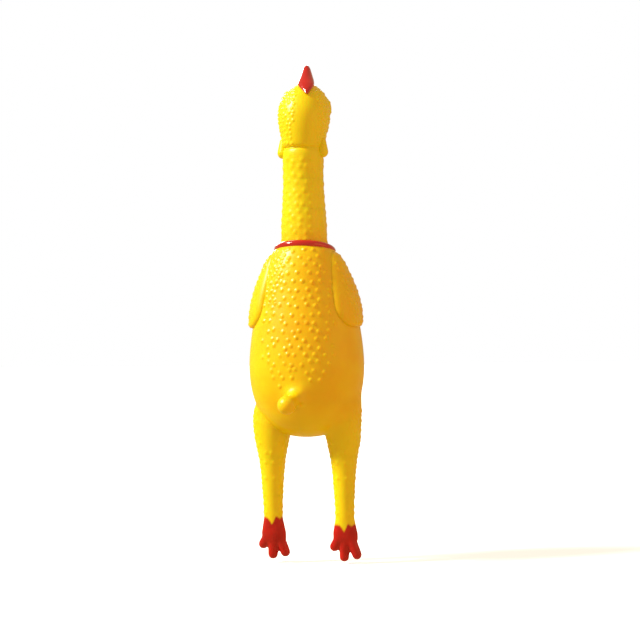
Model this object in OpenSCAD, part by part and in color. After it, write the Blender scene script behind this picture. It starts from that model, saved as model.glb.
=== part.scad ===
// Squeeze-to-scream rubber chicken: a hollow soft vinyl bird with a reed whistle in its throat.
// Millimetres. +Z is up, the bird's face looks along -Y and its back along +Y.
// The origin is inside the body, where a hand closes round it to squeeze it.

/* [Skin] */
// Thickness of the vinyl skin
wall = 2.2; // [1.8:0.1:2.6]
// Gap left where two zones of the skin flex against each other
flex_gap = 0.4; // [0.3:0.05:0.6]

/* [Body] */
// Widest width of the body, without the wings
body_width = 91; // [86:1:94]
// Depth of the back behind the neck's axis
back_depth = 40; // [37:1:43]
// Depth of the belly in front of the neck's axis
belly_depth = 44; // [41:1:47]
// How far the belly can be squeezed in
squeeze_travel = 20; // [10:1:22]

/* [Neck] */
// Radius of the neck where it leaves the shoulders
neck_base_r = 18; // [17:0.5:18.5]
// Radius of the straight part of the neck
neck_r = 16.2; // [15.5:0.1:17]
// Radius of the neck just under the head
throat_r = 15.8; // [15:0.1:16.2]

/* [Head] */
// Widest width of the head
head_width = 40.4; // [38:0.2:42]
// Upward tilt of the open beak and the whistle in it
beak_tilt = 18; // [12:1:22]

/* [Legs] */
// Distance between the two legs
leg_spacing = 58; // [56:1:60]
// Radius at the top of the thigh
hip_r = 15; // [14:0.2:15.4]
// Radius at the knee
knee_r = 9.6; // [9:0.1:10.2]
// Radius at the ankle
ankle_r = 7.2; // [6.8:0.1:7.6]
// Radius of a toe
toe_r = 3.4; // [3:0.1:3.8]

/* [Whistle] */
// Outer radius of the whistle's barrel
barrel_r = 10; // [9.5:0.1:10.4]
// Length of the whistle's barrel
barrel_length = 24; // [22:1:26]
// Thickness of the reed
reed_t = 0.3; // [0.2:0.05:0.4]

/* [Hidden] */
$fn = 48;
tiny = 0.01;
body_half = body_width / 2;
leg_x = leg_spacing / 2;

// Heights above the grip
toe_tip_z = -165;
ankle_z = -129;
knee_z = -97;
hip_z = -55;
body_bottom_z = -68;
rim_z = 82;
neck_base_z = 91;
neck_mid_z = 120;
throat_z = 152;
skull_top_z = 212;
comb_top_z = 225;

// How far the rim of a round seat stays back from its ball's centre
neck_seat = 8;
knee_seat = 4.5;
ankle_seat = 3.6;

// Body outline: share of the height, of the half width, of the back depth and of the belly depth
BODY = [[0.00, 0.10, 0.06, 0.14], [0.02, 0.32, 0.30, 0.36], [0.07, 0.56, 0.56, 0.60],
        [0.15, 0.80, 0.83, 0.84], [0.25, 0.96, 0.97, 0.97], [0.38, 1.00, 1.00, 1.00],
        [0.52, 0.96, 0.93, 0.97], [0.66, 0.86, 0.84, 0.91], [0.78, 0.78, 0.77, 0.83],
        [0.88, 0.68, 0.69, 0.65], [0.95, 0.55, 0.59, 0.50], [1.00, 0.42, 0.50, 0.43]];
BODY_RINGS = 32;
BODY_SIDES = 40;

// Head outline: share of the height, of the half width, and the back and face in millimetres
HEAD = [[0.00, 0.79, 15.9, 15.9], [0.15, 0.83, 16.9, 20.5], [0.31, 0.90, 18.0, 26.0],
        [0.47, 0.98, 18.3, 29.5], [0.62, 1.00, 17.4, 30.5], [0.76, 0.93, 14.0, 29.0],
        [0.88, 0.74, 8.0, 25.0], [0.96, 0.45, 0.5, 19.0], [1.00, 0.16, -5.5, 13.0]];
HEAD_RINGS = 22;
HEAD_SIDES = 36;
head_base_z = throat_z + 3;

// Mouth: the whistle's own frame starts here and its Z axis points out of the beak
mouth = [0, -24, 183];
socket_wall = 2;
seat_clearance = 0.1;

YELLOW = [0.96, 0.80, 0.08];
RED = [0.74, 0.08, 0.07];

// Catmull-Rom curve through four numbers or points
function curve(a, b, c, d, t) =
    0.5 * ((2 * b) + (c - a) * t + (2 * a - 5 * b + 4 * c - d) * t * t
           + (3 * b - a - 3 * c + d) * t * t * t);

// The outline's row at a share of its whole run, where stations count as evenly spaced
function row_at(rows, share) =
    let (last = len(rows) - 1, run = share * last, i = min(floor(run), last - 1))
    curve(rows[max(i - 1, 0)], rows[i], rows[i + 1], rows[min(i + 2, last)], run - i);

// One ring of a loft: an ellipse of this half width from the front depth to the back depth
function ring(half, back, front, z, sides) =
    [for (k = [0:sides - 1]) let (a = 360 * k / sides)
        [half * cos(a), (back - front) / 2 + (back + front) / 2 * sin(a), z]];

// A closed skin through rings of equal length, listed from the bottom up
module loft(rings) {
    sides = len(rings[0]);
    last = len(rings) - 1;
    walls = [for (i = [0:last - 1], k = [0:sides - 1])
        let (a = i * sides + k, b = i * sides + (k + 1) % sides)
        for (face = [[a, a + sides, b], [b, a + sides, b + sides]]) face];
    caps = [[for (k = [0:sides - 1]) k], [for (k = [sides - 1:-1:0]) last * sides + k]];
    polyhedron([for (r = rings, p = r) p], concat(walls, caps));
}

// Body outline pulled in by inset, which may be negative to swell it
module body_loft(inset = 0) {
    low = body_bottom_z + inset;
    high = rim_z + 6;
    loft([for (i = [0:BODY_RINGS]) let (row = row_at(BODY, i / BODY_RINGS))
        ring(row[1] * body_half - inset, row[2] * back_depth - inset, row[3] * belly_depth - inset,
             low + row[0] * (high - low), BODY_SIDES)]);
}

// Head outline pulled in by inset
module head_loft(inset = 0) {
    high = skull_top_z - inset;
    loft([for (i = [0:HEAD_RINGS]) let (row = row_at(HEAD, i / HEAD_RINGS))
        ring(row[1] * head_width / 2 - inset, row[2] - inset, row[3] - inset,
             head_base_z + row[0] * (high - head_base_z), HEAD_SIDES)]);
}

// The belly's flexing window, seen from the front, pushed through the body along Y
module belly_window(inset) {
    half_height = 56;
    half_width = 33;
    centre_z = 5;
    translate([0, 0, centre_z])
        rotate([90, 0, 0])
            linear_extrude(height = 80)
                polygon([for (k = [0:47]) let (a = 360 * k / 48)
                    [(half_width - inset) * cos(a), (half_height - inset) * sin(a)]]);
}

// Where the tail and the hips flex
tail_root = [0, back_depth - 0.8, -30];
tail_root_r = 8.5;
tail_tip = [4, back_depth + 13.5, -41];
tail_r = 6.4;
hip_y = -1;
hip_swing = 40;

module torso_shell() {
    color(YELLOW)
    difference() {
        body_loft();
        body_loft(wall);
        above_collar();
        belly_window(0);
        for (side = [-1, 1]) hip_room(side);
        translate(tail_root) sphere(tail_root_r + flex_gap);
    }
}

// Room for the thigh's ball and for the thigh as it swings forward and back
module hip_room(side) {
    translate([side * leg_x, hip_y, hip_z])
        hull() {
            sphere(hip_r + flex_gap, $fn = 40);
            for (swing = [-hip_swing, 0, hip_swing])
                rotate([180 + swing, 0, 0])
                    translate([0, 0, 24]) sphere(knee_r + 2.6, $fn = 24);
        }
}

module belly_panel() {
    color(YELLOW)
    intersection() {
        difference() {
            body_loft();
            body_loft(wall);
        }
        belly_window(flex_gap + 0.1);
    }
}

// Red ring that lies on the shoulders' rim, high at the nape and low at the breast.
// The flange inside it carries the neck's seat.
collar_major_r = 22.4;
collar_minor_r = 2.4;
collar_seat_r = 12;
collar_tilt = 13;
collar_at = [0, -2, 79];
rim_drop = 1.2;

// Puts its children in the ring's plane
module in_collar() {
    translate(collar_at) rotate([collar_tilt, 0, 0]) children();
}

module above_collar() {
    in_collar() translate([-60, -60, -rim_drop]) cube([120, 120, 60]);
}

module neck_collar() {
    color(RED)
    difference() {
        in_collar()
            rotate_extrude()
                union() {
                    intersection() {
                        translate([collar_major_r, 0]) circle(collar_minor_r);
                        translate([collar_seat_r, -rim_drop]) square([20, 10]);
                    }
                    translate([collar_seat_r, -rim_drop])
                        square([collar_major_r - collar_seat_r, 2]);
                }
        translate([0, 0, neck_base_z]) sphere(neck_base_r + flex_gap);
    }
}

// Hollow length of limb or neck: a ball lip at its root, a taper, and a round seat at its end.
// The ball's centre is the origin, and the seat's ball centre is at [0, 0, length].
module limb(root_r, end_r, length, seat) {
    bore_r = root_r - wall - 2;
    end_bore_r = end_r - wall;
    difference() {
        union() {
            sphere(root_r);
            cylinder(h = length - seat, r1 = root_r, r2 = end_r);
        }
        translate([0, 0, -root_r - 1]) cylinder(h = root_r + 1 + tiny, r = bore_r);
        cylinder(h = length, r1 = bore_r, r2 = min(bore_r, end_bore_r));
        translate([0, 0, length]) sphere(end_r + flex_gap);
    }
}

module neck_lower() {
    color(YELLOW)
        translate([0, 0, neck_base_z])
            limb(neck_base_r, neck_r + 0.4, neck_mid_z - neck_base_z, neck_seat);
}

module neck_upper() {
    length = throat_z - neck_mid_z;
    bore_r = neck_r - wall - 2;
    color(YELLOW)
        translate([0, 0, neck_mid_z])
            difference() {
                union() {
                    sphere(neck_r);
                    cylinder(h = length - neck_seat, r = neck_r);
                }
                translate([0, 0, -neck_r - 1]) cylinder(h = 2 * length + neck_r, r = bore_r);
                translate([0, 0, length]) sphere(throat_r + flex_gap);
            }
}

// Puts its children in the whistle's frame
module in_mouth() {
    translate(mouth) rotate([90 - beak_tilt, 0, 0]) children();
}

eye_at = [11.5, -22.5, 194];
eye_r = 6.8;
wattle_z = 156.5;

module head_shell() {
    bore_r = throat_r - wall - 2;
    socket_r = barrel_r + seat_clearance;
    color(YELLOW)
    difference() {
        union() {
            difference() {
                head_loft();
                head_loft(wall);
            }
            translate([0, 0, throat_z]) difference() {
                union() {
                    sphere(throat_r);
                    cylinder(h = 6, r = throat_r);
                }
                cylinder(h = 40, r = bore_r, center = true);
            }
            in_mouth() translate([0, 0, 2 - barrel_length])
                cylinder(h = barrel_length - 4, r = socket_r + socket_wall);
        }
        in_mouth() translate([0, 0, -barrel_length - 6]) cylinder(h = barrel_length + 40, r = socket_r);
        in_mouth() translate([0, 0, -2]) cylinder(h = 40, r = barrel_r + 3.2);
        for (side = [-1, 1])
            translate([side * eye_at[0], eye_at[1], eye_at[2]]) sphere(eye_r + seat_clearance);
    }
}

// A beak half: a hollow scoop from a broad root to a small tip
module scoop(root, tip, root_r, hollow, tip_r) {
    difference() {
        hull() {
            translate(root) sphere(root_r, $fn = 32);
            translate(tip) sphere(tip_r, $fn = 32);
        }
        hull() {
            translate(root + hollow) sphere(root_r - 1.2, $fn = 32);
            translate(tip + hollow * 0.75) sphere(0.9, $fn = 32);
        }
    }
}

beak_root_r = 11.5;

module upper_beak() {
    color(RED)
    difference() {
        scoop([0, -24, 190], [0, -56, 203], beak_root_r, [0, -0.5, -4.5], 2.8);
        head_loft(-0.1);
        in_mouth() translate([0, 0, -30]) cylinder(h = 31.5, r = barrel_r + 2.6);
        for (side = [-1, 1])
            translate([side * eye_at[0], eye_at[1], eye_at[2]]) sphere(eye_r + 0.2);
    }
}

module lower_beak() {
    color(RED)
    difference() {
        scoop([0, -25, 177], [0, -50, 168], beak_root_r, [0, -0.5, 4.5], 2.8);
        head_loft(-flex_gap);
        in_mouth() translate([0, 0, -30]) cylinder(h = 31.5, r = barrel_r + 2.8);
    }
}

// Blade of lobes along the crown, a wedge when seen from behind
module comb() {
    color(RED)
    difference() {
        union() {
            comb_lobe([0, -6, 209], 6.9, [0, -8, comb_top_z - 3], 3);
            comb_lobe([0, 8, 203.5], 2, [0, -4, 212], 5);
            comb_lobe([0, -15, 207], 6.2, [0, -18, comb_top_z - 7], 2.5);
            comb_lobe([0, -22, 203], 5, [0, -27, comb_top_z - 13], 2.2);
            comb_lobe([0, -12, 210], 3.4, [0, -25, 206], 3);
        }
        head_loft(-0.1);
    }
}

module comb_lobe(root, root_r, tip, tip_r) {
    hull() {
        translate(root) sphere(root_r, $fn = 24);
        translate(tip) sphere(tip_r, $fn = 20);
    }
}

// A drop that hangs from the cheek beside the throat
module wattle(side) {
    color(YELLOW)
    difference() {
        hull() {
            translate([side * 15.8, 0, wattle_z + 8]) sphere(3, $fn = 20);
            translate([side * 15.9, 0.5, wattle_z]) sphere(4.6, $fn = 24);
        }
        head_loft(-0.1);
        translate([0, 0, throat_z]) sphere(throat_r + 0.1);
        translate([0, 0, throat_z]) cylinder(h = 6, r = throat_r + 0.1);
    }
}

module eye(side) {
    color("white")
        difference() {
            translate([side * eye_at[0], eye_at[1], eye_at[2]])
                rotate([90, 0, 0])
                    rotate_extrude()
                        intersection() {
                            circle(eye_r);
                            translate([0, -1.5]) square([eye_r + 1, eye_r + 4]);
                        }
            in_mouth() translate([0, 0, -30]) cylinder(h = 33, r = barrel_r + 2.8);
        }
}

// Flap that lies along the body's side, from the shoulder to a blunt tip
wing_thickness = 4.6;
wing_half_depth = 17;
wing_half_height = 27;
wing_z = 46;

module wing(side) {
    outline = [for (k = [0:35]) let (a = 10 * k)
        [1 + (wing_half_depth - 4 * sin(a)) * cos(a), wing_z + wing_half_height * sin(a)]];
    color(YELLOW)
    intersection() {
        difference() {
            body_loft(-wing_thickness);
            body_loft(-flex_gap);
        }
        translate([side * 50, 0, 0])
            rotate([90, 0, 90]) linear_extrude(height = 70, center = true) polygon(outline);
    }
}

module tail_nub() {
    reach = tail_tip - tail_root;
    color(YELLOW)
        translate(tail_root) {
            sphere(tail_root_r);
            rotate([0, acos(reach[2] / norm(reach)), atan2(reach[1], reach[0])]) {
                cylinder(h = norm(reach), r = tail_r);
                translate([0, 0, norm(reach)]) sphere(tail_r);
            }
        }
}

module thigh(side) {
    color(YELLOW)
        translate([side * leg_x, hip_y, hip_z])
            rotate([180, 0, 0]) limb(hip_r, knee_r, hip_z - knee_z, knee_seat);
}

module shank(side) {
    color(YELLOW)
        translate([side * leg_x, hip_y, knee_z])
            rotate([180, 0, 0]) limb(knee_r, ankle_r, knee_z - ankle_z, ankle_seat);
}

// Toes: sideways reach of the tip and its height above the lowest tip, seen from the front
TOES = [[9.3, 7.6], [1.6, 0], [-9.7, 3]];
web_z = toe_tip_z + 14;
toe_lean_y = -3;

module foot(side) {
    color(RED)
        translate([side * leg_x, hip_y, 0])
            union() {
                translate([0, 0, ankle_z]) sphere(ankle_r);
                hull() {
                    translate([0, 0, ankle_z - 3]) sphere(5.2, $fn = 20);
                    for (toe = TOES)
                        translate([toe[0] * 0.78, toe_lean_y, web_z + 1]) sphere(toe_r, $fn = 20);
                }
                for (toe = TOES)
                    hull() {
                        translate([toe[0] * 0.78, toe_lean_y, web_z + 1]) sphere(toe_r, $fn = 20);
                        translate([toe[0], toe_lean_y, toe_tip_z + toe[1] + toe_r])
                            sphere(toe_r, $fn = 20);
                    }
            }
}

// Whistle, in its own frame: Z points out of the beak and 0 is the face of its flange
barrel_wall = 1.5;
barrel_bore_r = barrel_r - barrel_wall;
flange_t = 1.6;
grille_t = 1.8;
carrier_disc_z = -15;
carrier_disc_t = 3;
trough_length = 12.4;
trough_r = 4;
slot_r = 2.3;
reed_lift = 0.25;
reed_length = 9.4;

module whistle_barrel() {
    color("white")
    in_mouth()
        difference() {
            union() {
                translate([0, 0, -barrel_length]) cylinder(h = barrel_length, r = barrel_r);
                translate([0, 0, -flange_t]) cylinder(h = flange_t, r = barrel_r + 2.4);
            }
            translate([0, 0, -barrel_length - 1]) cylinder(h = barrel_length + 2, r = barrel_bore_r);
        }
}

module whistle_grille() {
    color("gold")
    in_mouth()
        translate([0, 0, -grille_t - 0.6])
            difference() {
                cylinder(h = grille_t, r = barrel_bore_r - 0.02);
                translate([0, 0, -1]) cylinder(h = grille_t + 2, r = 1.3);
                for (k = [0:5])
                    rotate([0, 0, 60 * k])
                        translate([5, 0, -1]) cylinder(h = grille_t + 2, r = 1.5);
            }
}

// Disc across the barrel with a half-round trough in front of it, which the reed closes
module reed_carrier() {
    color("gold")
    in_mouth()
        difference() {
            union() {
                translate([0, 0, carrier_disc_z]) cylinder(h = carrier_disc_t, r = barrel_bore_r - 0.02);
                intersection() {
                    translate([0, 0, carrier_disc_z]) cylinder(h = trough_length, r = trough_r + 1.2);
                    translate([-10, -10, carrier_disc_z]) cube([20, 10, trough_length]);
                }
            }
            translate([0, 0, carrier_disc_z - 1])
                intersection() {
                    cylinder(h = trough_length, r = slot_r);
                    translate([-10, -10, 0]) cube([20, 10, trough_length]);
                }
        }
}

module reed_tongue() {
    color("silver")
    in_mouth()
        translate([-2.8, reed_lift, carrier_disc_z + carrier_disc_t + 0.2])
            cube([5.6, reed_t, reed_length]);
}

module reed_clip() {
    color("white")
    in_mouth()
        translate([-3.6, reed_t + 2 * reed_lift, carrier_disc_z + carrier_disc_t])
            cube([7.2, 2, 2.4]);
}

module whistle_snap_ring() {
    color("white")
    in_mouth()
        translate([0, 0, -barrel_length + 0.8])
            difference() {
                cylinder(h = 2, r = barrel_bore_r - 0.02);
                translate([0, 0, -1]) cylinder(h = 4, r = barrel_bore_r - 2);
            }
}

torso_shell();
belly_panel();
neck_collar();
neck_lower();
neck_upper();
head_shell();
upper_beak();
lower_beak();
comb();
wattle(1);  // wattle_left
wattle(-1);  // wattle_right
eye(1);  // eye_left
eye(-1);  // eye_right
wing(1);  // wing_left
wing(-1);  // wing_right
tail_nub();
thigh(1);  // thigh_left
thigh(-1);  // thigh_right
shank(1);  // shank_left
shank(-1);  // shank_right
foot(1);  // foot_left
foot(-1);  // foot_right
whistle_barrel();
whistle_grille();
reed_carrier();
reed_clip();
reed_tongue();
whistle_snap_ring();
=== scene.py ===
"""Squeeze-to-scream rubber chicken: soft yellow vinyl, with red painted comb, beak, neck ring and feet."""

import math
import random

import bpy
from mathutils import Matrix, Vector, kdtree
from mathutils.bvhtree import BVHTree


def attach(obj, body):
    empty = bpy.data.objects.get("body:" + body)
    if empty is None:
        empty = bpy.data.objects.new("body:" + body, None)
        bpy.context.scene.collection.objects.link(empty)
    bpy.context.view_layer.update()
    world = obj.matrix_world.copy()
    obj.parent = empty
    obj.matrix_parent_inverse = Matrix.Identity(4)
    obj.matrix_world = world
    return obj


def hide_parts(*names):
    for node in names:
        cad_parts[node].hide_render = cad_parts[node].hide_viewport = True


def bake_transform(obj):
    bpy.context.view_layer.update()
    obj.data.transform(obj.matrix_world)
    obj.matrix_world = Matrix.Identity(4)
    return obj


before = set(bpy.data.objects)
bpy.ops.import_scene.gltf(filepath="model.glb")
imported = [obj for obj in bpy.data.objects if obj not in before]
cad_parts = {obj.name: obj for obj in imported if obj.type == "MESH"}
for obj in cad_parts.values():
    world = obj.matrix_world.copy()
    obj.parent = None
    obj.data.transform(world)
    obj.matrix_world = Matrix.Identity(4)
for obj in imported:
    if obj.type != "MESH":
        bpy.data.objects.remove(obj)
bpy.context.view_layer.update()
MM = 0.001
SIDES = (("left", 1), ("right", -1))  # the bird's own left is +X

# ---------------------------------------------------------------- sizes, in millimetres
COLLAR_AT = Vector((0, -2, 79))
COLLAR_TILT = math.radians(13)
COLLAR_UP = Vector((0, -math.sin(COLLAR_TILT), math.cos(COLLAR_TILT)))
LEG_X = 29
LEG_Y = -1
TAIL_ROOT = Vector((-2.5, 35, -34.5))
TAIL_TIP = Vector((4, 53.5, -41))
TAIL_WAY = (TAIL_TIP - TAIL_ROOT).normalized()
TAIL_CUT = 6.3  # how far along the tail its piece starts
TAIL_CUT_R = 12
MOUTH_AT = Vector((0, -24, 183))
MOUTH_TURN = math.radians(72)  # from upright to the whistle's axis
EYE_AT = Vector((11.5, -22.5, 194))
EYE_LOOK = Vector((0.62, -0.74, 0.26)).normalized()
EYE_R = 6.8
PUPIL_LOOK = Vector((0.42, -0.86, 0.22))
PUPIL_R = 3.0
PUPIL_EDGE = 0.1
HEAD_CUT_Z = 135
NECK_CUT_Z = 111
HIP_CUT_Z = -40
KNEE_CUT_Z = -83
ANKLE_CUT_Z = -115
BELLY_CUT_Y = -22
BELLY_CUT_Z = -64
FLOOR_Z = -168.4
PAINT_LEFT_Z = -131.5
PAINT_RIGHT_Z = -137
SKIN_VOXEL = 0.9
WING_VOXEL = 0.6
SMALL_VOXEL = 0.5
SCATTER_DEPTH = 2.5
ROW_SHARE = 0.87  # how far apart two staggered rows of dots are, as a share of the spacing in a row

# The tail: how far from its root, and its radius
TAIL_ROWS = [
    (-10, 4), (-6, 6.4), (0, 7.4), (4, 7), (8, 6.3), (12, 5.8), (14.5, 6.2),
    (16.5, 7), (18.8, 7.4), (21, 7.1), (23, 6.1), (24.6, 4.5), (25.6, 2.7), (26.1, 1)]
# Each row of a form: height, half width, depth behind the neck's axis, depth in front of it
BODY_ROWS = [
    (-68.2, 4, 2, 6), (-67.2, 13, 11, 13), (-64.5, 21, 18, 20), (-60, 28, 24, 26), (-53, 34.5, 30, 32),
    (-44, 40, 35, 37), (-33, 43.8, 38, 40.8), (-20, 45.8, 40, 43.2), (-6, 45.8, 40.2, 44),
    (8, 44.4, 39, 43.8), (22, 42.2, 37, 42.4), (35, 39.6, 34.6, 40.4), (47, 36.8, 32.4, 37.6),
    (57, 34.2, 30.6, 34.6), (66, 31, 28.6, 30.8), (73, 27.8, 26.4, 27), (78.5, 24.6, 24, 23.4),
    (82.5, 21, 21.4, 19), (85, 16, 17, 14), (86.2, 8, 9, 7)]
NECK_ROWS = [
    (60, 15, 15, 15), (72, 17.6, 17.6, 17.6), (84, 18.3, 18.2, 18.2), (96, 18.2, 18, 18),
    (108, 17.4, 17.2, 17.2), (120, 16.5, 16.3, 16.3), (132, 16.0, 15.9, 15.9), (144, 16.0, 15.9, 15.9),
    (153, 16.3, 16.2, 16.4), (158, 16.0, 15.9, 16.6), (162, 13, 13, 13)]
HEAD_ROWS = [
    (158.8, 13.6, 13, 14.6), (159.8, 16.0, 15.8, 17.6), (162.6, 16.9, 16.8, 19.6), (167.5, 17.2, 17.4, 22.6),
    (173, 18.6, 18.2, 26), (179, 20.0, 18.6, 28.6), (186, 20.7, 18.3, 30), (192, 20.3, 16.8, 30.2),
    (198, 18.7, 14.2, 29), (203, 16.3, 10.6, 26.6), (207, 13.0, 6.4, 23.4), (210, 9.2, 1.6, 19.4),
    (212, 4.6, -3.6, 14)]
# Rows of a leg: height, half width, depth behind and in front of its own axis
LEG_ROWS = [
    (-34, 6, 6, 6), (-38, 11, 11, 11), (-46, 14.2, 14, 14), (-56, 15.0, 14.8, 14.8), (-64, 14.4, 14.2, 14.2),
    (-71, 13.4, 13.2, 13.4), (-79, 11.7, 11.8, 12), (-88, 10.1, 10.4, 10.4), (-97, 9.2, 9.4, 9.4),
    (-106, 8.5, 8.6, 8.6), (-116, 7.9, 7.8, 7.8), (-126, 7.5, 7.0, 7.2), (-132, 7.6, 6.4, 6.8),
    (-138, 8.8, 5.4, 6.6), (-144, 10, 4.4, 6.8), (-149, 10, 3.2, 6.8), (-152.5, 7.6, 1.8, 6.4),
    (-155, 4, 0, 5)]
# Toes: sideways place of the knuckle and of the tip, height of the tip's end on the left foot
TOES = [(7.2, 9.4, -157.4), (1.0, 1.6, -165.4), (-6.6, -8.6, -163.6)]
TOE_R = 3.9

# Wing: height, outermost place sideways, half thickness, where its rear edge and its front edge lie
WING_ROWS = [
    (78, 25.4, 3.2, 9, -4), (75, 28.6, 4.4, 11.8, -7), (70, 32, 5.3, 14.6, -10.4), (63, 35, 5.8, 17.6, -13.4),
    (53, 39.4, 6.0, 20.4, -16), (43, 42.8, 6.0, 22.4, -17.6), (34, 44.8, 6.0, 23.6, -17),
    (27, 45.6, 5.6, 23.2, -14.6), (21, 45.8, 4.8, 19.4, -10.4), (18, 45, 3.0, 14, -6)]


def mm(*place):
    """A place given in millimetres, in metres."""
    return Vector(place) * MM


def clamp(value):
    """Keeps a value between 0 and 1."""
    return max(0.0, min(1.0, value))


# ---------------------------------------------------------------- working the meshes
def clear():
    """Leaves edit mode with nothing selected."""
    if bpy.context.mode != "OBJECT":
        bpy.ops.object.mode_set(mode="OBJECT")
    bpy.ops.object.select_all(action="DESELECT")


def take(*pieces):
    """Selects these pieces only, the first one active."""
    clear()
    for piece in pieces:
        piece.select_set(True)
    bpy.context.view_layer.objects.active = pieces[0]


def settle(piece):
    """Puts a piece's place, turn and size into its mesh."""
    take(piece)
    bpy.ops.object.transform_apply(location=True, rotation=True, scale=True)
    return piece


def named(name):
    """Names the active object and its mesh."""
    piece = bpy.context.object
    piece.name = name
    piece.data.name = name
    return piece


def use(piece, kind, **settings):
    """Adds a modifier with these settings and applies it."""
    take(piece)
    bpy.ops.object.modifier_add(type=kind)
    modifier = piece.modifiers[-1]
    for key, value in settings.items():
        setattr(modifier, key, value)
    bpy.ops.object.modifier_apply(modifier=modifier.name)
    return piece


def smooth(piece):
    take(piece)
    bpy.ops.object.shade_smooth()


def stand_up(piece, way):
    """Turns a piece so that its own Z points this way."""
    piece.rotation_mode = "QUATERNION"
    piece.rotation_quaternion = way.to_track_quat("Z", "Y")


def raised(name, rows, sides=32, blunt=1.0):
    """A closed form raised from a disc. Each row is a centre, a half width and a half depth, in metres.

    The smaller blunt is, the squarer is the disc."""
    clear()
    centre, wide, deep = rows[0]
    bpy.ops.mesh.primitive_circle_add(vertices=sides, radius=1, fill_type="NGON", location=centre)
    piece = named(name)
    for vertex in piece.data.vertices:
        vertex.co.x = math.copysign(abs(vertex.co.x) ** blunt, vertex.co.x)
        vertex.co.y = math.copysign(abs(vertex.co.y) ** blunt, vertex.co.y)
    piece.scale = (wide, deep, 1)
    settle(piece)
    bpy.ops.object.mode_set(mode="EDIT")
    bpy.ops.mesh.select_all(action="SELECT")
    for (here, wide, deep), (there, wider, deeper) in zip(rows, rows[1:]):
        bpy.ops.mesh.extrude_region_move(TRANSFORM_OT_translate={"value": there - here})
        bpy.ops.transform.resize(value=(wider / wide, deeper / deep, 1), center_override=there)
    bpy.ops.mesh.select_all(action="SELECT")
    bpy.ops.mesh.normals_make_consistent(inside=False)
    bpy.ops.object.mode_set(mode="OBJECT")
    return piece


def standing_rows(rows, x=0.0, y=0.0):
    """Rows of (height, half width, back, front) as the centres and halves that raised() takes."""
    return [(mm(x, y + (back - front) / 2, z), half * MM, (back + front) / 2 * MM)
            for z, half, back, front in rows]


def join(name, *pieces):
    """Joins these pieces into one object with this name."""
    take(*pieces)
    bpy.ops.object.join()
    return named(name)


def melt(piece, voxel, smoothing):
    """Melts joined forms into one skin and smooths the creases between them."""
    use(piece, "REMESH", mode="VOXEL", voxel_size=voxel * MM)
    use(piece, "SMOOTH", factor=0.5, iterations=smoothing)
    smooth(piece)
    return piece


def pick_faces(piece, test):
    """Goes into edit mode with the faces selected whose middles, in millimetres, pass the test."""
    take(piece)
    bpy.ops.object.mode_set(mode="EDIT")
    bpy.ops.mesh.select_mode(type="FACE")
    bpy.ops.mesh.select_all(action="DESELECT")
    bpy.ops.object.mode_set(mode="OBJECT")
    for face in piece.data.polygons:
        face.select = test(face.center / MM)
    bpy.ops.object.mode_set(mode="EDIT")


def part_off(piece, name, test):
    """Splits off the faces whose middles pass the test, as a piece of its own."""
    pick_faces(piece, test)
    bpy.ops.mesh.separate(type="SELECTED")
    bpy.ops.object.mode_set(mode="OBJECT")
    part = next(o for o in bpy.context.selected_objects if o != piece)
    part.name = name
    part.data.name = name
    return part


def subdivide_where(piece, test):
    """Halves the faces whose middles pass the test."""
    pick_faces(piece, test)
    bpy.ops.mesh.subdivide(number_cuts=1)
    bpy.ops.object.mode_set(mode="OBJECT")


def tree_of(piece):
    """The piece's faces, ready for rays to be cast at them."""
    return BVHTree.FromPolygons([v.co for v in piece.data.vertices],
                                [p.vertices for p in piece.data.polygons])


# ---------------------------------------------------------------- dots
def lattice(low, high, spacing, seed):
    """Staggered points over a rectangle, each a little off its place."""
    chance = random.Random(seed)
    points = []
    rows = int((high[1] - low[1]) / (spacing * ROW_SHARE)) + 1
    for row in range(rows):
        across = low[0] + (row % 2) * spacing / 2
        while across <= high[0]:
            points.append((across + chance.uniform(-0.26, 0.26) * spacing,
                           low[1] + row * spacing * ROW_SHARE + chance.uniform(-0.22, 0.22) * spacing))
            across += spacing
    return points


def cast(tree, start, direction):
    """Where a ray from this place, in millimetres, meets the skin."""
    return tree.ray_cast(mm(*start), Vector(direction))[0]


def back_dots(tree):
    """Dots of the back, from the shoulders to the tail, as (place, radius, height) in metres."""
    dots = []
    for x, z in lattice((-34, -34), (34, 80), 7.2, 3):
        reach = 15 + 14 * clamp((z + 34) / 30) + 3 * clamp(z / 40)
        hit = cast(tree, (x, 90, z), (0, -1, 0))
        if hit and abs(x) < reach and (hit / MM - TAIL_ROOT).length > 15.5 and hit.y < 43 * MM:
            dots.append((hit, 2.4, 0.66 + 0.16 * math.sin(x * 1.7 + z)))
    for x, z in lattice((4, 38), (30, 80), 4.6, 13):
        hit = cast(tree, (x, 90, z), (0, -1, 0))
        if hit and x > 4 + (80 - z) * 0.3:
            dots.append((hit, 2.2, 0.5))
    return dots


def breast_dots(tree):
    """Dots down the breast, sparser than on the back."""
    dots = []
    for x, z in lattice((-28, -30), (28, 74), 7.8, 17):
        hit = cast(tree, (x, -90, z), (0, 1, 0))
        if hit and abs(x) < 13 + 12 * clamp((z + 30) / 40):
            dots.append((hit, 2.5, 0.7))
    return dots


def round_dots(tree, low, high, spacing, seed, clear_nape, radius, height):
    """Bumps all round the neck or the head, which may leave a strip down the nape smooth."""
    dots = []
    girth = 105
    nape = -0.38
    for around, z in lattice((0, low), (girth, high), spacing, seed):
        a = around / girth * 2 * math.pi
        if abs(math.remainder(a - nape, 2 * math.pi)) < clear_nape:
            continue
        hit = cast(tree, (60 * math.sin(a), -4 + 60 * math.cos(a), z), (-math.sin(a), -math.cos(a), 0))
        if hit:
            dots.append((hit, radius, height))
    return dots


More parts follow.
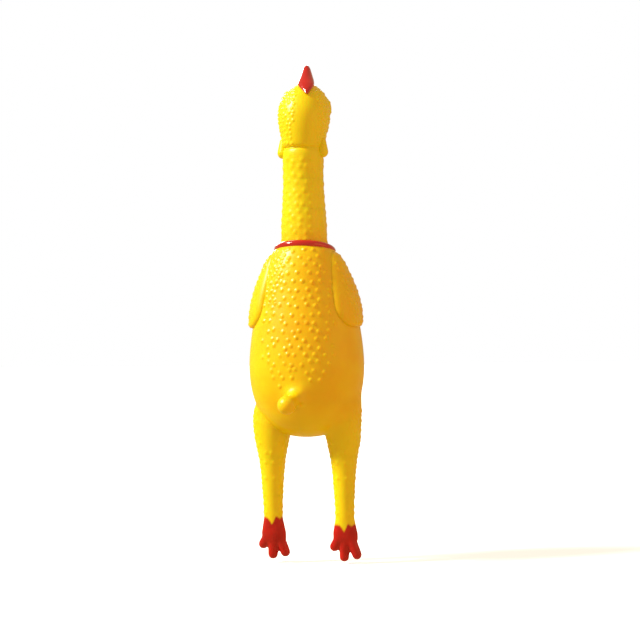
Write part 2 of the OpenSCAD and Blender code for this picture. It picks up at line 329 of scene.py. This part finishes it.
def leg_dots(tree):
    """Scales along the outside and the inside of each leg."""
    dots = []
    for leg in (1, -1):
        for out in (1, -1):
            for y, z in lattice((-9, -128), (10, -46), 4.6, 11):
                hit = cast(tree, (leg * LEG_X + out * 40, y, z), (-out, 0, 0))
                if hit and abs(hit.x / MM - leg * LEG_X) < 17:
                    dots.append((hit, 2.3, 0.5))
    return dots


def weigh(piece, rule):
    """A vertex group whose weight at each point, in millimetres, comes from the rule."""
    group = piece.vertex_groups.new(name="zone")
    for vertex in piece.data.vertices:
        weight = rule(vertex.co / MM)
        if weight > 0.01:
            group.add([vertex.index], min(1.0, weight), "REPLACE")


def press(piece, depth, rule):
    """Presses the skin in by this depth where the rule says."""
    weigh(piece, rule)
    use(piece, "DISPLACE", direction="NORMAL", strength=-depth * MM, mid_level=0, vertex_group="zone")
    piece.vertex_groups.clear()


def relax(piece, times, rule):
    """Smooths the skin where the rule says."""
    weigh(piece, rule)
    use(piece, "SMOOTH", factor=0.5, iterations=times, vertex_group="zone")
    piece.vertex_groups.clear()


def raise_dots(piece, dots):
    """Paints every dot into a vertex group and pushes the skin out there."""
    tallest = max(height for _, _, height in dots)
    tree = kdtree.KDTree(len(piece.data.vertices))
    for vertex in piece.data.vertices:
        tree.insert(vertex.co, vertex.index)
    tree.balance()
    weights = {}
    for place, radius, height in dots:
        for _, index, distance in tree.find_range(place, radius * MM):
            rise = (1 - (distance / (radius * MM)) ** 2) ** 2 * height / tallest
            weights[index] = max(weights.get(index, 0), rise)
    group = piece.vertex_groups.new(name="dots")
    for index, weight in weights.items():
        group.add([index], weight, "REPLACE")
    use(piece, "DISPLACE", direction="NORMAL", strength=tallest * MM, mid_level=0, vertex_group="dots")
    piece.vertex_groups.clear()


# ---------------------------------------------------------------- the skin
def along(name, start, way, rows):
    """A round form raised along a line. Each row is how far along it lies, and its radius, in millimetres."""
    piece = raised(name, [(mm(0, 0, reach), r * MM, r * MM) for reach, r in rows], 24)
    stand_up(piece, way)
    piece.location = start * MM
    return settle(piece)


def drop(name, start, end, start_r, end_r):
    """A rounded, tapering finger from start to end, in millimetres."""
    start, end = Vector(start), Vector(end)
    reach = (end - start).length
    rows = []
    for step in range(5):
        a = math.radians(18 + 18 * step)
        rows.append((-start_r * math.cos(a), start_r * math.sin(a)))
    for step in range(5):
        a = math.radians(18 * step)
        rows.append((reach + end_r * math.sin(a), end_r * math.cos(a)))
    return along(name, start, end - start, rows)


def foot_forms(side):
    """Three toes that grow out of the web of a foot."""
    forms = []
    x = side * LEG_X
    low = 0 if side > 0 else 1.4  # the right foot hangs a little lower
    for knuckle, tip, end in TOES:
        root = (x + knuckle * 0.6, LEG_Y - 1.2, -146 - low)
        forms.append(drop("toe", root, (x + tip, LEG_Y - 3.4, end + TOE_R - low), TOE_R * 1.05, TOE_R))
    return forms


def cut_with(piece, tool):
    """Takes the tool's shape out of the piece."""
    use(piece, "BOOLEAN", operation="DIFFERENCE", object=tool, solver="EXACT")
    take(tool)
    bpy.ops.object.delete()
    return piece


def mouth_plug(radius, start, end):
    """A plug along the whistle's axis, between two places on it."""
    return raised("plug", [(mm(0, 0, place), radius * MM, radius * MM) for place in (start, end)], 48)


def into_mouth(piece):
    """Turns a piece that was made upright into the mouth, onto the whistle's axis."""
    piece.rotation_euler = (MOUTH_TURN, 0, 0)
    piece.location = MOUTH_AT * MM
    return settle(piece)


def mirrored(place, sign):
    """A place on the bird's left, or its mirror place on the right."""
    return Vector((sign * place.x, place.y, place.z))


def eye_rim(sign):
    """Soft lid that runs round an eye."""
    clear()
    look = mirrored(EYE_LOOK, sign)
    middle = mirrored(EYE_AT, sign) + look * 1.6
    bpy.ops.mesh.primitive_torus_add(major_radius=6.7 * MM, minor_radius=1.7 * MM, major_segments=48,
                                     minor_segments=12, location=middle * MM)
    piece = named("eye_rim")
    stand_up(piece, look)
    return settle(piece)


def skin_form():
    """Body, neck, head, tail, legs and feet melted into one skin."""
    body = raised("body", standing_rows(BODY_ROWS), 48)
    neck = raised("neck", standing_rows(NECK_ROWS))
    head = raised("head", standing_rows(HEAD_ROWS), 40)
    forms = [body, neck, head, along("tail", TAIL_ROOT, TAIL_WAY, TAIL_ROWS),
             drop("hip", (-29.8, LEG_Y, -27), (-29.8, LEG_Y, -50), 13.8, 14.8), eye_rim(1), eye_rim(-1)]
    for _, side in SIDES:
        forms.append(raised("leg", standing_rows(LEG_ROWS, side * LEG_X, LEG_Y)))
        forms += foot_forms(side)
    for form in (body, neck, head):
        use(form, "SUBSURF", levels=1, render_levels=1)
    cut_with(head, into_mouth(mouth_plug(13.0, -2.6, 30)))
    cut_with(head, into_mouth(mouth_plug(9.2, -22, 0)))
    return melt(join("skin", *forms), SKIN_VOXEL, 5)


def dotted_zone(c):
    """Where the dots are small or close: the head, and the back and the breast of the body."""
    return c.z > 155 or (abs(c.y) > 18 and -40 < c.z < 84)


def keep_normals(skin):
    """Stores each point's normal, so that a cut through the skin doesn't show."""
    stored = skin.data.attributes.new("whole_normal", "FLOAT_VECTOR", "POINT")
    for vertex, value in zip(skin.data.vertices, stored.data):
        value.vector = vertex.normal


def restore_normals(piece):
    """Gives a cut piece the normals that it had in the whole skin."""
    normals = [tuple(value.vector) for value in piece.data.attributes["whole_normal"].data]
    piece.data.normals_split_custom_set_from_vertices(normals)
    piece.data.attributes.remove(piece.data.attributes["whole_normal"])


def foot_paint(c):
    """How red a point of the leg is: the paint starts in a wavy line with a notch behind."""
    side = 1 if c.x > 0 else -1
    across = c.x - side * LEG_X
    edge = PAINT_LEFT_Z if side > 0 else PAINT_RIGHT_Z
    if c.y > LEG_Y:
        edge -= 5.5 * max(0.0, 1 - abs(across) / 3.2)
    edge += 0.45 * math.sin(across * 1.3) + 0.3 * math.sin(c.y * 1.9)
    return clamp((edge - c.z) / 1.9 + 0.5)


def paint(piece, rule):
    """Stores how thick the red paint is at each point of a piece."""
    stored = piece.data.attributes.new("paint", "FLOAT", "POINT")
    for vertex, value in zip(piece.data.vertices, stored.data):
        value.value = rule(vertex.co / MM)


# ---------------------------------------------------------------- materials
def blank(name):
    """A new material, with its nodes, its links and its shader."""
    material = bpy.data.materials.new(name)
    material.use_nodes = True
    nodes = material.node_tree.nodes
    return material, nodes, material.node_tree.links, nodes["Principled BSDF"]


def mixed(nodes, links, factor, a, b, kind="RGBA"):
    """Runs from a to b as the factor rises. Each of them is a fixed value or a socket."""
    node = nodes.new("ShaderNodeMix")
    node.data_type = kind
    index = {"RGBA": (6, 7, 2), "FLOAT": (2, 3, 0)}[kind]
    links.new(factor, node.inputs[0])
    for socket, value in ((index[0], a), (index[1], b)):
        if hasattr(value, "node"):
            links.new(value, node.inputs[socket])
        else:
            node.inputs[socket].default_value = value
    return node.outputs[index[2]]


def spotted(nodes, links, coords, scale, detail, low, high):
    """Soft noise, stretched so that it runs from 0 at low to 1 at high."""
    noise = nodes.new("ShaderNodeTexNoise")
    noise.inputs["Scale"].default_value = scale
    noise.inputs["Detail"].default_value = detail
    links.new(coords, noise.inputs["Vector"])
    stretch = nodes.new("ShaderNodeMapRange")
    stretch.inputs["From Min"].default_value = low
    stretch.inputs["From Max"].default_value = high
    links.new(noise.outputs["Fac"], stretch.inputs["Value"])
    return stretch.outputs["Result"]


def fine_bump(nodes, links, shader, height, strength):
    """A very fine grain, less than a fifth of a millimetre high."""
    bump = nodes.new("ShaderNodeBump")
    bump.inputs["Strength"].default_value = strength
    bump.inputs["Distance"].default_value = 0.0002
    links.new(height, bump.inputs["Height"])
    links.new(bump.outputs["Normal"], shader.inputs["Normal"])


YELLOW = (0.94, 0.69, 0.004, 1)
DEEP_YELLOW = (0.93, 0.58, 0.002, 1)
# Painted light: a paler lemon that stands in for light shining through the thin vinyl of the head, the neck
# and the legs
THIN_GLOW_LEMON = (0.93, 0.78, 0.004, 1)
RED = (0.60, 0.010, 0.008, 1)
DEEP_RED = (0.44, 0.006, 0.006, 1)


def thin_glow_share(nodes, links, coords):
    """How much painted light a point gets: 0 on the body, rising to 1 on the head and on the lower legs,
    where light would shine through the thin vinyl.
    """
    place = nodes.new("ShaderNodeSeparateXYZ")
    links.new(coords, place.inputs["Vector"])
    off_centre = nodes.new("ShaderNodeMath")
    off_centre.operation = "SUBTRACT"
    off_centre.inputs[1].default_value = 0.020
    links.new(place.outputs["Z"], off_centre.inputs[0])
    far = nodes.new("ShaderNodeMath")
    far.operation = "ABSOLUTE"
    links.new(off_centre.outputs["Value"], far.inputs[0])
    thin = nodes.new("ShaderNodeMapRange")
    thin.interpolation_type = "SMOOTHSTEP"
    thin.inputs["From Min"].default_value = 0.050
    thin.inputs["From Max"].default_value = 0.095
    links.new(far.outputs["Value"], thin.inputs["Value"])
    return thin.outputs["Result"]


def soft_vinyl(name, painted):
    """Soft moulded vinyl, with painted light that makes the head and the legs more lemon, and red paint where
    the attribute says.
    """
    material, nodes, links, shader = blank(name)
    coords = nodes.new("ShaderNodeTexCoord").outputs["Object"]
    cloud = spotted(nodes, links, coords, 38, 3, 0.35, 0.68)
    colour = mixed(nodes, links, cloud, YELLOW, DEEP_YELLOW)
    # Painted light: the thin head, neck and legs are tinted paler lemon, as if light shone through them
    colour = mixed(nodes, links, thin_glow_share(nodes, links, coords), colour, THIN_GLOW_LEMON)
    grain = spotted(nodes, links, coords, 900, 2, 0.3, 0.7)
    shine = mixed(nodes, links, spotted(nodes, links, coords, 120, 2, 0.3, 0.7), 0.30, 0.40, "FLOAT")
    if painted:
        mask = nodes.new("ShaderNodeAttribute")
        mask.attribute_name = "paint"
        red = mixed(nodes, links, spotted(nodes, links, coords, 90, 3, 0.3, 0.7), RED, DEEP_RED)
        colour = mixed(nodes, links, mask.outputs["Fac"], colour, red)
        shine = mixed(nodes, links, mask.outputs["Fac"], shine, 0.24, "FLOAT")
    links.new(colour, shader.inputs["Base Color"])
    links.new(shine, shader.inputs["Roughness"])
    fine_bump(nodes, links, shader, grain, 0.10)
    shader.inputs["Subsurface Weight"].default_value = 0.5
    shader.inputs["Subsurface Radius"].default_value = (1.0, 0.40, 0.06)
    shader.inputs["Subsurface Scale"].default_value = SCATTER_DEPTH * MM
    shader.inputs["IOR"].default_value = 1.45
    return material


def red_gloss(name):
    """Thick glossy red paint on vinyl."""
    material, nodes, links, shader = blank(name)
    coords = nodes.new("ShaderNodeTexCoord").outputs["Object"]
    cloud = spotted(nodes, links, coords, 90, 3, 0.3, 0.7)
    links.new(mixed(nodes, links, cloud, RED, DEEP_RED), shader.inputs["Base Color"])
    shine = mixed(nodes, links, spotted(nodes, links, coords, 300, 2, 0.3, 0.7), 0.12, 0.22, "FLOAT")
    links.new(shine, shader.inputs["Roughness"])
    fine_bump(nodes, links, shader, spotted(nodes, links, coords, 700, 2, 0.3, 0.7), 0.12)
    shader.inputs["Coat Weight"].default_value = 0.8
    shader.inputs["Coat Roughness"].default_value = 0.06
    return material


def plastic(name, light, dark, roughness):
    """Moulded hard plastic with a faint flow pattern."""
    material, nodes, links, shader = blank(name)
    coords = nodes.new("ShaderNodeTexCoord").outputs["Object"]
    cloud = spotted(nodes, links, coords, 150, 3, 0.3, 0.7)
    links.new(mixed(nodes, links, cloud, light, dark), shader.inputs["Base Color"])
    shine = mixed(nodes, links, spotted(nodes, links, coords, 400, 2, 0.3, 0.7),
                  roughness, roughness + 0.12, "FLOAT")
    links.new(shine, shader.inputs["Roughness"])
    return material


def rolled_brass():
    """Thin brass strip with rolling lines along it."""
    material, nodes, links, shader = blank("rolled_brass")
    coords = nodes.new("ShaderNodeTexCoord").outputs["Object"]
    mapping = nodes.new("ShaderNodeMapping")
    mapping.inputs["Scale"].default_value = (3, 0.2, 0.2)
    links.new(coords, mapping.inputs["Vector"])
    lines = spotted(nodes, links, mapping.outputs["Vector"], 900, 2, 0.3, 0.7)
    colour = mixed(nodes, links, lines, (0.78, 0.56, 0.24, 1), (0.6, 0.4, 0.15, 1))
    links.new(colour, shader.inputs["Base Color"])
    links.new(mixed(nodes, links, lines, 0.22, 0.36, "FLOAT"), shader.inputs["Roughness"])
    shader.inputs["Metallic"].default_value = 1
    return material


def eye_enamel(name, pupil):
    """White enamel with a round black pupil about this place, in millimetres."""
    material, nodes, links, shader = blank(name)
    coords = nodes.new("ShaderNodeTexCoord").outputs["Object"]
    away = nodes.new("ShaderNodeVectorMath")
    away.operation = "DISTANCE"
    links.new(coords, away.inputs[0])
    away.inputs[1].default_value = pupil * MM
    edge = nodes.new("ShaderNodeMapRange")
    edge.inputs["From Min"].default_value = (PUPIL_R + PUPIL_EDGE) * MM
    edge.inputs["From Max"].default_value = (PUPIL_R - PUPIL_EDGE) * MM
    links.new(away.outputs["Value"], edge.inputs["Value"])
    tint = spotted(nodes, links, coords, 200, 2, 0.3, 0.7)
    white = mixed(nodes, links, tint, (0.85, 0.84, 0.80, 1), (0.76, 0.74, 0.68, 1))
    links.new(mixed(nodes, links, edge.outputs["Result"], white, (0.012, 0.011, 0.012, 1)),
              shader.inputs["Base Color"])
    links.new(mixed(nodes, links, tint, 0.12, 0.2, "FLOAT"), shader.inputs["Roughness"])
    shader.inputs["Coat Weight"].default_value = 0.6
    shader.inputs["Coat Roughness"].default_value = 0.06
    return material


def wear(piece, material):
    """Gives a piece this material alone."""
    piece.data.materials.clear()
    piece.data.materials.append(material)


def stand_in(node):
    """Hides a CAD node, so that the piece made in its place is shown instead."""
    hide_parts(node)


# ---------------------------------------------------------------- making the skin's pieces
vinyl = soft_vinyl("yellow_vinyl", False)
painted_vinyl = soft_vinyl("painted_vinyl", True)
red_paint = red_gloss("red_paint")

skin = skin_form()


def around_tail(c):
    """The tail's foot, but not its tip."""
    return clamp(2.3 - (c - TAIL_ROOT).length / 12) * clamp(1.5 - (c - TAIL_ROOT).dot(TAIL_WAY) / 11)


def right_hip(c):
    """The fold over the right thigh, which runs smoothly into the body."""
    return clamp(2 - (c - Vector((-34, 4, -50))).length / 13)


def throat(c):
    """The front of the neck under the beak, where the head runs smoothly into it."""
    return clamp((6 - c.y) / 8) * math.exp(-((c.z - 160) / 4.5) ** 2)


def nape_groove(c):
    """A fold across the nape under the head, deepest on the left."""
    return math.exp(-((c.z - 159.6) / 0.9) ** 2) * clamp((c.x + 14) / 16) * clamp(c.y / 6)


relax(skin, 300, around_tail)
relax(skin, 300, right_hip)
relax(skin, 150, throat)
subdivide_where(skin, dotted_zone)
use(skin, "SMOOTH", factor=0.5, iterations=2)
press(skin, 0.9, nape_groove)
skin_tree = tree_of(skin)
dots = back_dots(skin_tree) + breast_dots(skin_tree) + leg_dots(skin_tree)
dots += round_dots(skin_tree, 86, 154, spacing=6.6, seed=5, clear_nape=0, radius=2.9, height=0.5)
dots += round_dots(skin_tree, 163, 206, spacing=3.9, seed=7, clear_nape=0.5, radius=1.9, height=0.52)
raise_dots(skin, dots)
smooth(skin)
keep_normals(skin)


def above_collar(c):
    """The foot of the neck, above the tilted plane of the red ring."""
    return (c - COLLAR_AT).dot(COLLAR_UP) > 0.5 and c.z > 60


def on_tail(c):
    """The tail, and a round patch of the body about its foot."""
    reach = (c - TAIL_ROOT).dot(TAIL_WAY)
    return reach > TAIL_CUT and (c - TAIL_ROOT - TAIL_WAY * reach).length < TAIL_CUT_R


head_skin = part_off(skin, "head_skin", lambda c: c.z > HEAD_CUT_Z)
neck_upper_skin = part_off(skin, "neck_upper_skin", lambda c: c.z > NECK_CUT_Z)
neck_lower_skin = part_off(skin, "neck_lower_skin", above_collar)
belly_skin = part_off(skin, "belly_skin", lambda c: c.y < BELLY_CUT_Y and c.z > BELLY_CUT_Z)
tail_skin = part_off(skin, "tail_skin", on_tail)
lower = {}
for side, sign in SIDES:
    lower[side] = (
        part_off(skin, f"foot_{side}_skin", lambda c: c.z < ANKLE_CUT_Z and c.x * sign > 0),
        part_off(skin, f"shank_{side}_skin", lambda c: c.z < KNEE_CUT_Z and c.x * sign > 0),
        part_off(skin, f"thigh_{side}_skin", lambda c: c.z < HIP_CUT_Z and c.x * sign > 0))
torso_skin = skin
torso_skin.name = "torso_skin"
torso_skin.data.name = "torso_skin"
skins = [torso_skin, head_skin, neck_upper_skin, neck_lower_skin, belly_skin, tail_skin]
skins += [part for parts in lower.values() for part in parts]
for part in skins:
    restore_normals(part)
    wear(part, vinyl)
for foot, shank, thigh in lower.values():
    paint(foot, foot_paint)
    wear(foot, painted_vinyl)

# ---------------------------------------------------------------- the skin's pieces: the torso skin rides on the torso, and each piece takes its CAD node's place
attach(torso_skin, "torso")
stand_in("torso_shell")
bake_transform(belly_skin)
stand_in("belly_panel")
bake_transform(tail_skin)
stand_in("tail_nub")
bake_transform(neck_lower_skin)
stand_in("neck_lower")
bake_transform(neck_upper_skin)
stand_in("neck_upper")
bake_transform(head_skin)
stand_in("head_shell")
for side, sign in SIDES:
    foot, shank, thigh = lower[side]
    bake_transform(thigh)
    stand_in(f"thigh_{side}")
    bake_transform(shank)
    stand_in(f"shank_{side}")
    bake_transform(foot)
    stand_in(f"foot_{side}")


# ---------------------------------------------------------------- wings
def body_half_at(z):
    """Half width, depth behind and depth in front of the body at a height, in millimetres."""
    for low, high in zip(BODY_ROWS, BODY_ROWS[1:]):
        if low[0] <= z <= high[0]:
            share = (z - low[0]) / (high[0] - low[0])
            return [a + (b - a) * share for a, b in zip(low[1:], high[1:])]
    return BODY_ROWS[-1][1:]


def wing(side, sign):
    """A thick flap pressed on the body's side, blunt all round, with dots outside."""
    rows = [(mm(sign * (out - thick), (rear + front) / 2, z), thick * MM, (rear - front) / 2 * MM)
            for z, out, thick, rear, front in WING_ROWS]
    piece = raised(f"wing_{side}_flap", rows, 32, blunt=0.78)
    use(piece, "SUBSURF", levels=2, render_levels=2)
    for vertex in piece.data.vertices:
        c = vertex.co / MM
        half, back, front = body_half_at(min(c.z, 80))
        middle, deep = (back - front) / 2, (back + front) / 2
        here = math.sqrt(max(0.0, 1 - ((c.y - middle) / deep) ** 2))
        widest = math.sqrt(1 - (middle / deep) ** 2)
        vertex.co.x += sign * half * (here - widest) * 0.8 * MM
    melt(piece, WING_VOXEL, 12)
    tree = tree_of(piece)
    dots = []
    for y, z in lattice((-15, 22), (17, 74), 5.4, 21):
        hit = cast(tree, (sign * 80, y, z), (-sign, 0, 0))
        if hit:
            dots.append((hit, 2.0, 0.5))
    raise_dots(piece, dots)
    smooth(piece)
    wear(piece, vinyl)
    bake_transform(piece)
    stand_in(f"wing_{side}")


for side, sign in SIDES:
    wing(side, sign)


# ---------------------------------------------------------------- neck ring
def neck_ring():
    """Glossy red ring that closes the shoulders round the neck."""
    clear()
    bpy.ops.mesh.primitive_torus_add(major_radius=21.4 * MM, minor_radius=3.0 * MM, major_segments=96,
                                     minor_segments=20, location=COLLAR_AT * MM, rotation=(COLLAR_TILT, 0, 0))
    piece = settle(named("neck_ring"))
    smooth(piece)
    wear(piece, red_paint)
    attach(piece, "torso")
    stand_in("neck_collar")


neck_ring()


# ---------------------------------------------------------------- comb
# Rear lobe of the comb: height, lean sideways, half width, where its rear edge and its front edge lie
COMB_ROWS = [
    (201.2, -6.4, 0.9, 12.8, 8), (203, -5.8, 2.2, 11.8, 5), (205.5, -5.0, 4.2, 10.2, 2),
    (208, -4.2, 5.9, 8.2, -2), (210.5, -3.4, 6.6, 6.2, -6), (213.5, -2.9, 6.0, 3.4, -10),
    (217, -2.5, 4.8, 0.4, -12.5), (220.5, -2.3, 3.7, -2.4, -13), (223.5, -2.2, 2.8, -4.6, -12.2),
    (225.4, -2.1, 1.9, -6, -10.6), (226.2, -2, 0.7, -7.4, -9.2)]


def comb():
    """A fat rear lobe that tapers to a point on the back of the head, two smaller lobes, and their foot."""
    rows = [(mm(lean, (rear + front) / 2, z), half * MM, (rear - front) / 2 * MM)
            for z, lean, half, rear, front in COMB_ROWS]
    lobes = [raised("lobe", rows, 24),
             drop("lobe", (0, -14.5, 206), (0, -18.5, 216.8), 6.2, 3.4),
             drop("lobe", (0, -22, 203), (0, -27, 210.6), 5.4, 3.0),
             drop("lobe", (0, -8, 209), (0, -25, 205), 4.8, 4.2)]
    piece = melt(join("comb_blade", *lobes), SMALL_VOXEL, 5)
    wear(piece, red_paint)
    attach(piece, "head")
    stand_in("comb")


comb()


# ---------------------------------------------------------------- beak
def beak_half(name, root, tip, hollow, body, node):
    """A thick-lipped scoop: a long rounded cone, with the same cone taken out of it from the mouth's side."""
    root, tip, hollow = Vector(root), Vector(tip), Vector(hollow)
    piece = drop(name, root, tip, 12.4, 4.2)
    cut_with(piece, drop("hollow", root + hollow, tip + hollow, 11.4, 3.0))
    cut_with(piece, into_mouth(mouth_plug(12.6, -40, 0.4)))
    melt(piece, SMALL_VOXEL, 12)
    wear(piece, red_paint)
    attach(piece, body)
    stand_in(node)


beak_half("beak_top", (0, -24, 190), (0, -54.5, 201.5), (0, -3, -5.4), "head", "upper_beak")
beak_half("beak_bottom", (0, -25, 177), (0, -48.6, 168.4), (0, -3, 5.4), "lower_beak", "lower_beak")


# ---------------------------------------------------------------- wattles and eyes
def wattle(side, sign):
    """A soft drop that hangs beside the throat."""
    piece = drop(f"wattle_{side}_drop", (sign * 15.6, 0, 165), (sign * 15.9, 0.5, 156.4), 3.2, 4.7)
    melt(piece, SMALL_VOXEL, 4)
    wear(piece, vinyl)
    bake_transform(piece)
    stand_in(f"wattle_{side}")


def eye(side, sign):
    """A glossy white dome with a black pupil."""
    clear()
    middle = mirrored(EYE_AT, sign)
    bpy.ops.mesh.primitive_uv_sphere_add(segments=48, ring_count=32, radius=EYE_R * MM, location=middle * MM)
    piece = named(f"eye_{side}_dome")
    stand_up(piece, mirrored(EYE_LOOK, sign))
    piece.scale = (1, 1, 0.96)
    smooth(settle(piece))
    pupil = middle + mirrored(PUPIL_LOOK, sign).normalized() * EYE_R
    wear(piece, eye_enamel(f"eye_enamel_{side}", pupil))
    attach(piece, "head")
    stand_in(f"eye_{side}")


for side, sign in SIDES:
    wattle(side, sign)
    eye(side, sign)

white_plastic = plastic("white_plastic", (0.82, 0.81, 0.77, 1), (0.74, 0.72, 0.66, 1), 0.28)
amber_plastic = plastic("amber_plastic", (0.72, 0.40, 0.08, 1), (0.62, 0.31, 0.05, 1), 0.25)
for node in ("whistle_barrel", "whistle_grille", "whistle_snap_ring"):
    wear(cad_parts[node], white_plastic)
for node in ("reed_carrier", "reed_clip"):
    wear(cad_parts[node], amber_plastic)
wear(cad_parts["reed_tongue"], rolled_brass())


# ---------------------------------------------------------------- studio
def seen_by_camera(nodes, links, other, seen, output):
    """Sends one shader to the camera, and the other one to all the rest of the light."""
    path = nodes.new("ShaderNodeLightPath")
    choice = nodes.new("ShaderNodeMixShader")
    links.new(path.outputs["Is Camera Ray"], choice.inputs["Fac"])
    links.new(other, choice.inputs[1])
    links.new(seen, choice.inputs[2])
    links.new(choice.outputs["Shader"], nodes[output].inputs["Surface"])


def floor():
    """A pale floor, which throws only a little warm light back on the bird."""
    clear()
    bpy.ops.mesh.primitive_plane_add(size=12, location=mm(0, 0, FLOOR_Z))
    piece = named("studio_floor")
    material, nodes, links, shader = blank("pale_floor")
    shader.inputs["Base Color"].default_value = (0.95, 0.95, 0.95, 1)
    shader.inputs["Emission Color"].default_value = (1, 1, 1, 1)
    shader.inputs["Emission Strength"].default_value = 0.35
    shader.inputs["Roughness"].default_value = 0.9
    shader.inputs["Specular IOR Level"].default_value = 0.1
    bounce = nodes.new("ShaderNodeBsdfDiffuse")
    bounce.inputs["Color"].default_value = (0.48, 0.33, 0.18, 1)
    seen_by_camera(nodes, links, bounce.outputs["BSDF"], shader.outputs["BSDF"], "Material Output")
    wear(piece, material)


def light(name, source, strength, angle, colour):
    """A distant soft lamp in the direction of source."""
    clear()
    bpy.ops.object.light_add(type="SUN", location=source)
    lamp = bpy.context.object
    lamp.name = name
    lamp.data.energy = strength
    lamp.data.angle = math.radians(angle)
    lamp.data.color = colour
    lamp.rotation_euler = Vector(source).to_track_quat("Z", "Y").to_euler()


def white_sky():
    """A white surround that lights the bird only softly, and warmly."""
    world = bpy.context.scene.world or bpy.data.worlds.new("studio")
    bpy.context.scene.world = world
    world.use_nodes = True
    nodes, links = world.node_tree.nodes, world.node_tree.links
    soft = nodes["Background"]
    soft.inputs["Color"].default_value = (1, 0.74, 0.48, 1)
    soft.inputs["Strength"].default_value = 0.48
    white = nodes.new("ShaderNodeBackground")
    white.inputs["Color"].default_value = (1, 1, 1, 1)
    white.inputs["Strength"].default_value = 1.0
    seen_by_camera(nodes, links, soft.outputs["Background"], white.outputs["Background"], "World Output")


def studio():
    """Pale floor, white surround, and three distant soft lamps."""
    floor()
    white_sky()
    light("key", (0.78, 0.37, 0.70), 3.9, 12, (1, 1, 0.90))
    light("warm_fill", (-0.9, 0.30, 0.08), 0.75, 50, (1, 0.38, 0.10))
    light("front_fill", (0.35, -0.9, 0.42), 1.8, 30, (1, 0.98, 0.95))
    bpy.context.scene.view_settings.view_transform = "Standard"


def camera():
    """Looks level at the bird's back, a little from its left, and rolled by less than a degree."""
    azimuth = math.radians(193)
    roll = math.radians(-0.9)
    distance = 1.403
    back = Vector((math.sin(azimuth), -math.cos(azimuth), 0))
    right = Vector((math.cos(azimuth), math.sin(azimuth), 0))
    aim = mm(0, 0, 24) + right * 11.4 * MM
    bpy.ops.object.camera_add(location=aim + back * distance)
    cam = bpy.context.object
    cam.data.lens = 100
    cam.data.sensor_width = 36
    turn = (-back).to_track_quat("-Z", "Y").to_matrix().to_4x4()
    cam.rotation_euler = (turn @ Matrix.Rotation(roll, 4, "Z")).to_euler()
    bpy.context.scene.camera = cam


studio()
camera()
